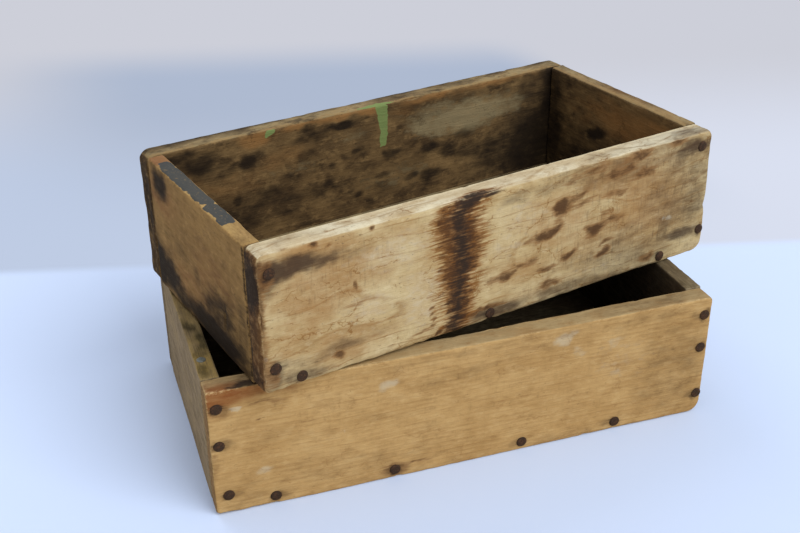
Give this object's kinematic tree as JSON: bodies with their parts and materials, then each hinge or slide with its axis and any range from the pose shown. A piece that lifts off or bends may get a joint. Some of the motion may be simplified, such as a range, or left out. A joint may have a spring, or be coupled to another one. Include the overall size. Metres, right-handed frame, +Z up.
{
  "type": "wooden candle box pair",
  "caption": "Open-topped nailed pine candle boxes, one standing askew on the other's rim, for storing candles and small things; the upper box lifts off.",
  "frame": {"origin": "middle of the lower box's underside, where the set stands", "axes": "+X along the lower box's length to the right, +Y from its front board to its back board, +Z up"},
  "size_m": [0.3299, 0.2197, 0.1625],
  "materials": {
    "honey_pine": "bare, handled smooth",
    "bleached_pine": "bare, weathered and water-stained",
    "driftwood_pine": "bare, weathered grey-brown",
    "dark_stained_pine": "bare, darkened by use",
    "rusted_nail_wire": "drawn wire, rusted dark",
    "zinc_tack": "dull grey"
  },
  "bodies": {
    "lower_box": {"lower_front_board": "honey_pine", "lower_back_board": "driftwood_pine", "lower_left_end_board": "driftwood_pine", "lower_right_end_board": "driftwood_pine", "lower_bottom_board": "driftwood_pine", "lower_front_left_nails": "rusted_nail_wire", "lower_front_right_nails": "rusted_nail_wire", "lower_front_bottom_nails": "rusted_nail_wire", "lower_back_left_nails": "rusted_nail_wire", "lower_back_right_nails": "rusted_nail_wire", "lower_back_bottom_nails": "rusted_nail_wire", "lower_rim_tack": "zinc_tack"},
    "upper_box": {"upper_front_board": "bleached_pine", "upper_back_board": "dark_stained_pine", "upper_left_end_board": "dark_stained_pine", "upper_right_end_board": "dark_stained_pine", "upper_bottom_board": "dark_stained_pine", "upper_front_left_nails": "rusted_nail_wire", "upper_front_right_nails": "rusted_nail_wire", "upper_front_bottom_nails": "rusted_nail_wire", "upper_back_left_nails": "rusted_nail_wire", "upper_back_right_nails": "rusted_nail_wire", "upper_back_bottom_nails": "rusted_nail_wire"}
  },
  "joints": [
    {"name": "upper_box_lift", "type": "slide", "parent": "lower_box", "child": "upper_box", "axis": [0, 0, 1], "range_m": [0, 0.12]}
  ]
}
